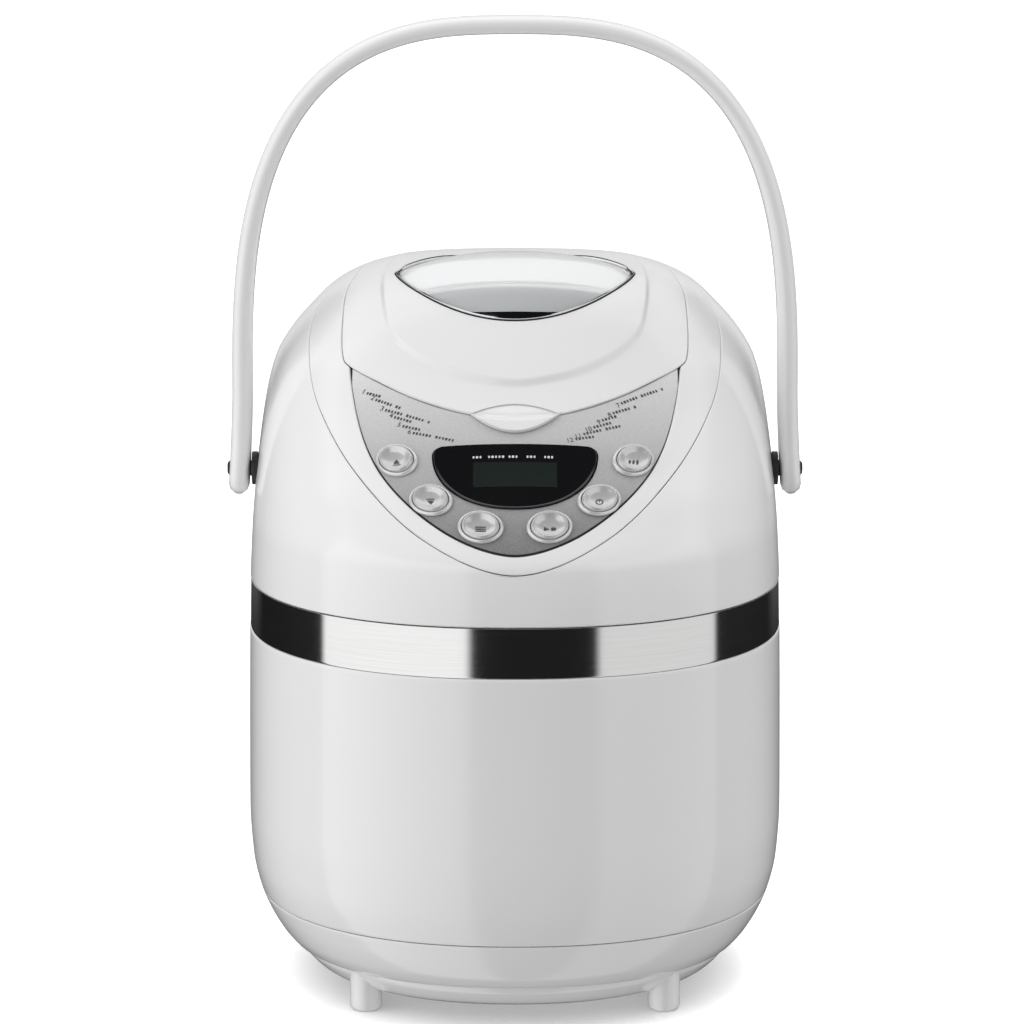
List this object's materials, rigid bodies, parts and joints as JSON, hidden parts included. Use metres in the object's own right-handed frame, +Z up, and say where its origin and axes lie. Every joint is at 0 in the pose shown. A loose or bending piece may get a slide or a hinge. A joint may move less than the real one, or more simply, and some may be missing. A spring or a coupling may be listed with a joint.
{
  "type": "bread machine",
  "caption": "Tall rounded bread machine with a hinged windowed lid, sloping button panel, steel waist band and swinging carry handle over a removable pan and paddle.",
  "frame": {"origin": "on the floor under the middle of the body, level with the soles of the feet", "axes": "+Z up, front with the control panel at -Y, +X to the right seen from the front"},
  "size_m": [0.2936, 0.281, 0.4929],
  "materials": {
    "white_body": "glossy white moulding",
    "white_handle": "glossy white moulding",
    "well_plastic": "satin white",
    "steel_band": "brushed around the body",
    "silver_panel": "silver metallic lacquer",
    "button_silver": "silver lacquer",
    "chrome_trim": "bright plated",
    "window": "clear, slightly silvered",
    "black_lens": "glossy black",
    "lcd": "unlit liquid crystal display",
    "circuit_board": "green solder mask",
    "steel": "zinc plated",
    "aluminium": "satin",
    "dark_coating": "non-stick coating",
    "heater": "oxidised sheath",
    "gasket": "matte silicone",
    "black_plastic": "satin black",
    "belt": "matte"
  },
  "bodies": {
    "root": {"base_tray": "white_body", "lower_shell": "white_body", "steel_band": "steel_band", "upper_shell": "white_body", "top_bezel": "white_body", "lid_well": "well_plastic", "foot_front_left": "white_body", "foot_front_right": "white_body", "foot_rear_left": "white_body", "foot_rear_right": "white_body", "base_screw_1": "steel", "base_screw_2": "steel", "base_screw_3": "steel", "base_screw_4": "steel", "hinge_bracket_left": "steel", "hinge_bracket_right": "steel", "lid_hinge_pin": "steel", "panel_plate": "silver_panel", "display_lens": "black_lens", "lcd_module": "lcd", "button_trim_left": "chrome_trim", "button_trim_right": "chrome_trim", "control_board": "circuit_board", "power_board": "circuit_board", "oven_chamber": "dark_coating", "heating_element": "heater", "temperature_probe": "steel", "chassis_plate": "steel", "bearing_block": "aluminium", "motor_body": "steel", "drive_belt": "belt", "mains_inlet": "black_plastic", "handle_pivot_left": "black_plastic", "handle_pivot_right": "black_plastic"},
    "lid": {"lid_outer": "white_body", "window_rim": "chrome_trim", "lid_window": "window", "lid_liner": "aluminium", "lid_gasket": "gasket", "hinge_arm_left": "aluminium", "hinge_arm_right": "aluminium"},
    "handle": {"carry_handle": "white_handle"},
    "pan": {"bread_pan": "dark_coating", "pan_foot": "aluminium", "pan_ear_left": "steel", "pan_ear_right": "steel"},
    "bail": {"pan_bail": "steel"},
    "paddle": {"pan_shaft": "steel", "pan_coupling": "steel", "kneading_paddle": "dark_coating"},
    "drive": {"drive_shaft": "steel", "drive_fork": "steel", "large_pulley": "black_plastic"},
    "rotor": {"motor_rotor": "steel"},
    "button_1_body": {"button_1": "button_silver"},
    "button_2_body": {"button_2": "button_silver"},
    "button_3_body": {"button_3": "button_silver"},
    "button_4_body": {"button_4": "button_silver"},
    "button_5_body": {"button_5": "button_silver"},
    "button_6_body": {"button_6": "button_silver"}
  },
  "joints": [
    {"name": "lid_hinge", "type": "hinge", "parent": "root", "child": "lid", "pos_m": [0, 0.1362, 0.288], "axis": [-1, 0, 0], "range_deg": [0, 90]},
    {"name": "handle_swing", "type": "hinge", "parent": "root", "child": "handle", "pos_m": [0, 0, 0.262], "axis": [-1, 0, 0], "range_deg": [0, 110]},
    {"name": "pan_lift", "type": "slide", "parent": "root", "child": "pan", "axis": [0, 0, 1], "range_m": [0, 0.01]},
    {"name": "bail_swing", "type": "hinge", "parent": "pan", "child": "bail", "pos_m": [0, 0.0175, 0.236], "axis": [-1, 0, 0], "range_deg": [0, 180]},
    {"name": "drive_spin", "type": "hinge", "parent": "root", "child": "drive", "pos_m": [0, 0.0175, 0.035], "axis": [0, 0, 1], "continuous": true},
    {"name": "paddle_spin", "type": "hinge", "parent": "pan", "child": "paddle", "pos_m": [0, 0.0175, 0.1], "axis": [0, 0, 1], "continuous": true},
    {"name": "motor_spin", "type": "hinge", "parent": "root", "child": "rotor", "pos_m": [0, -0.098, 0.035], "axis": [0, 0, 1], "continuous": true},
    {"name": "button_1_press", "type": "slide", "parent": "root", "child": "button_1_body", "axis": [0.2547, 0.6789, -0.6887], "range_m": [0, 0.0015], "stiffness_N_per_m": 400, "springref_m": -0.0005},
    {"name": "button_2_press", "type": "slide", "parent": "root", "child": "button_2_body", "axis": [0.1673, 0.682, -0.712], "range_m": [0, 0.0015], "stiffness_N_per_m": 400, "springref_m": -0.0005},
    {"name": "button_3_press", "type": "slide", "parent": "root", "child": "button_3_body", "axis": [0.0636, 0.7687, -0.6365], "range_m": [0, 0.0015], "stiffness_N_per_m": 400, "springref_m": -0.0005},
    {"name": "button_4_press", "type": "slide", "parent": "root", "child": "button_4_body", "axis": [-0.0636, 0.7687, -0.6365], "range_m": [0, 0.0015], "stiffness_N_per_m": 400, "springref_m": -0.0005},
    {"name": "button_5_press", "type": "slide", "parent": "root", "child": "button_5_body", "axis": [-0.1673, 0.682, -0.712], "range_m": [0, 0.0015], "stiffness_N_per_m": 400, "springref_m": -0.0005},
    {"name": "button_6_press", "type": "slide", "parent": "root", "child": "button_6_body", "axis": [-0.2547, 0.6789, -0.6887], "range_m": [0, 0.0015], "stiffness_N_per_m": 400, "springref_m": -0.0005}
  ],
  "couplings": [
    {"joint": "paddle_spin", "follows": "drive_spin", "ratio": 1},
    {"joint": "motor_spin", "follows": "drive_spin", "ratio": 5.625}
  ]
}
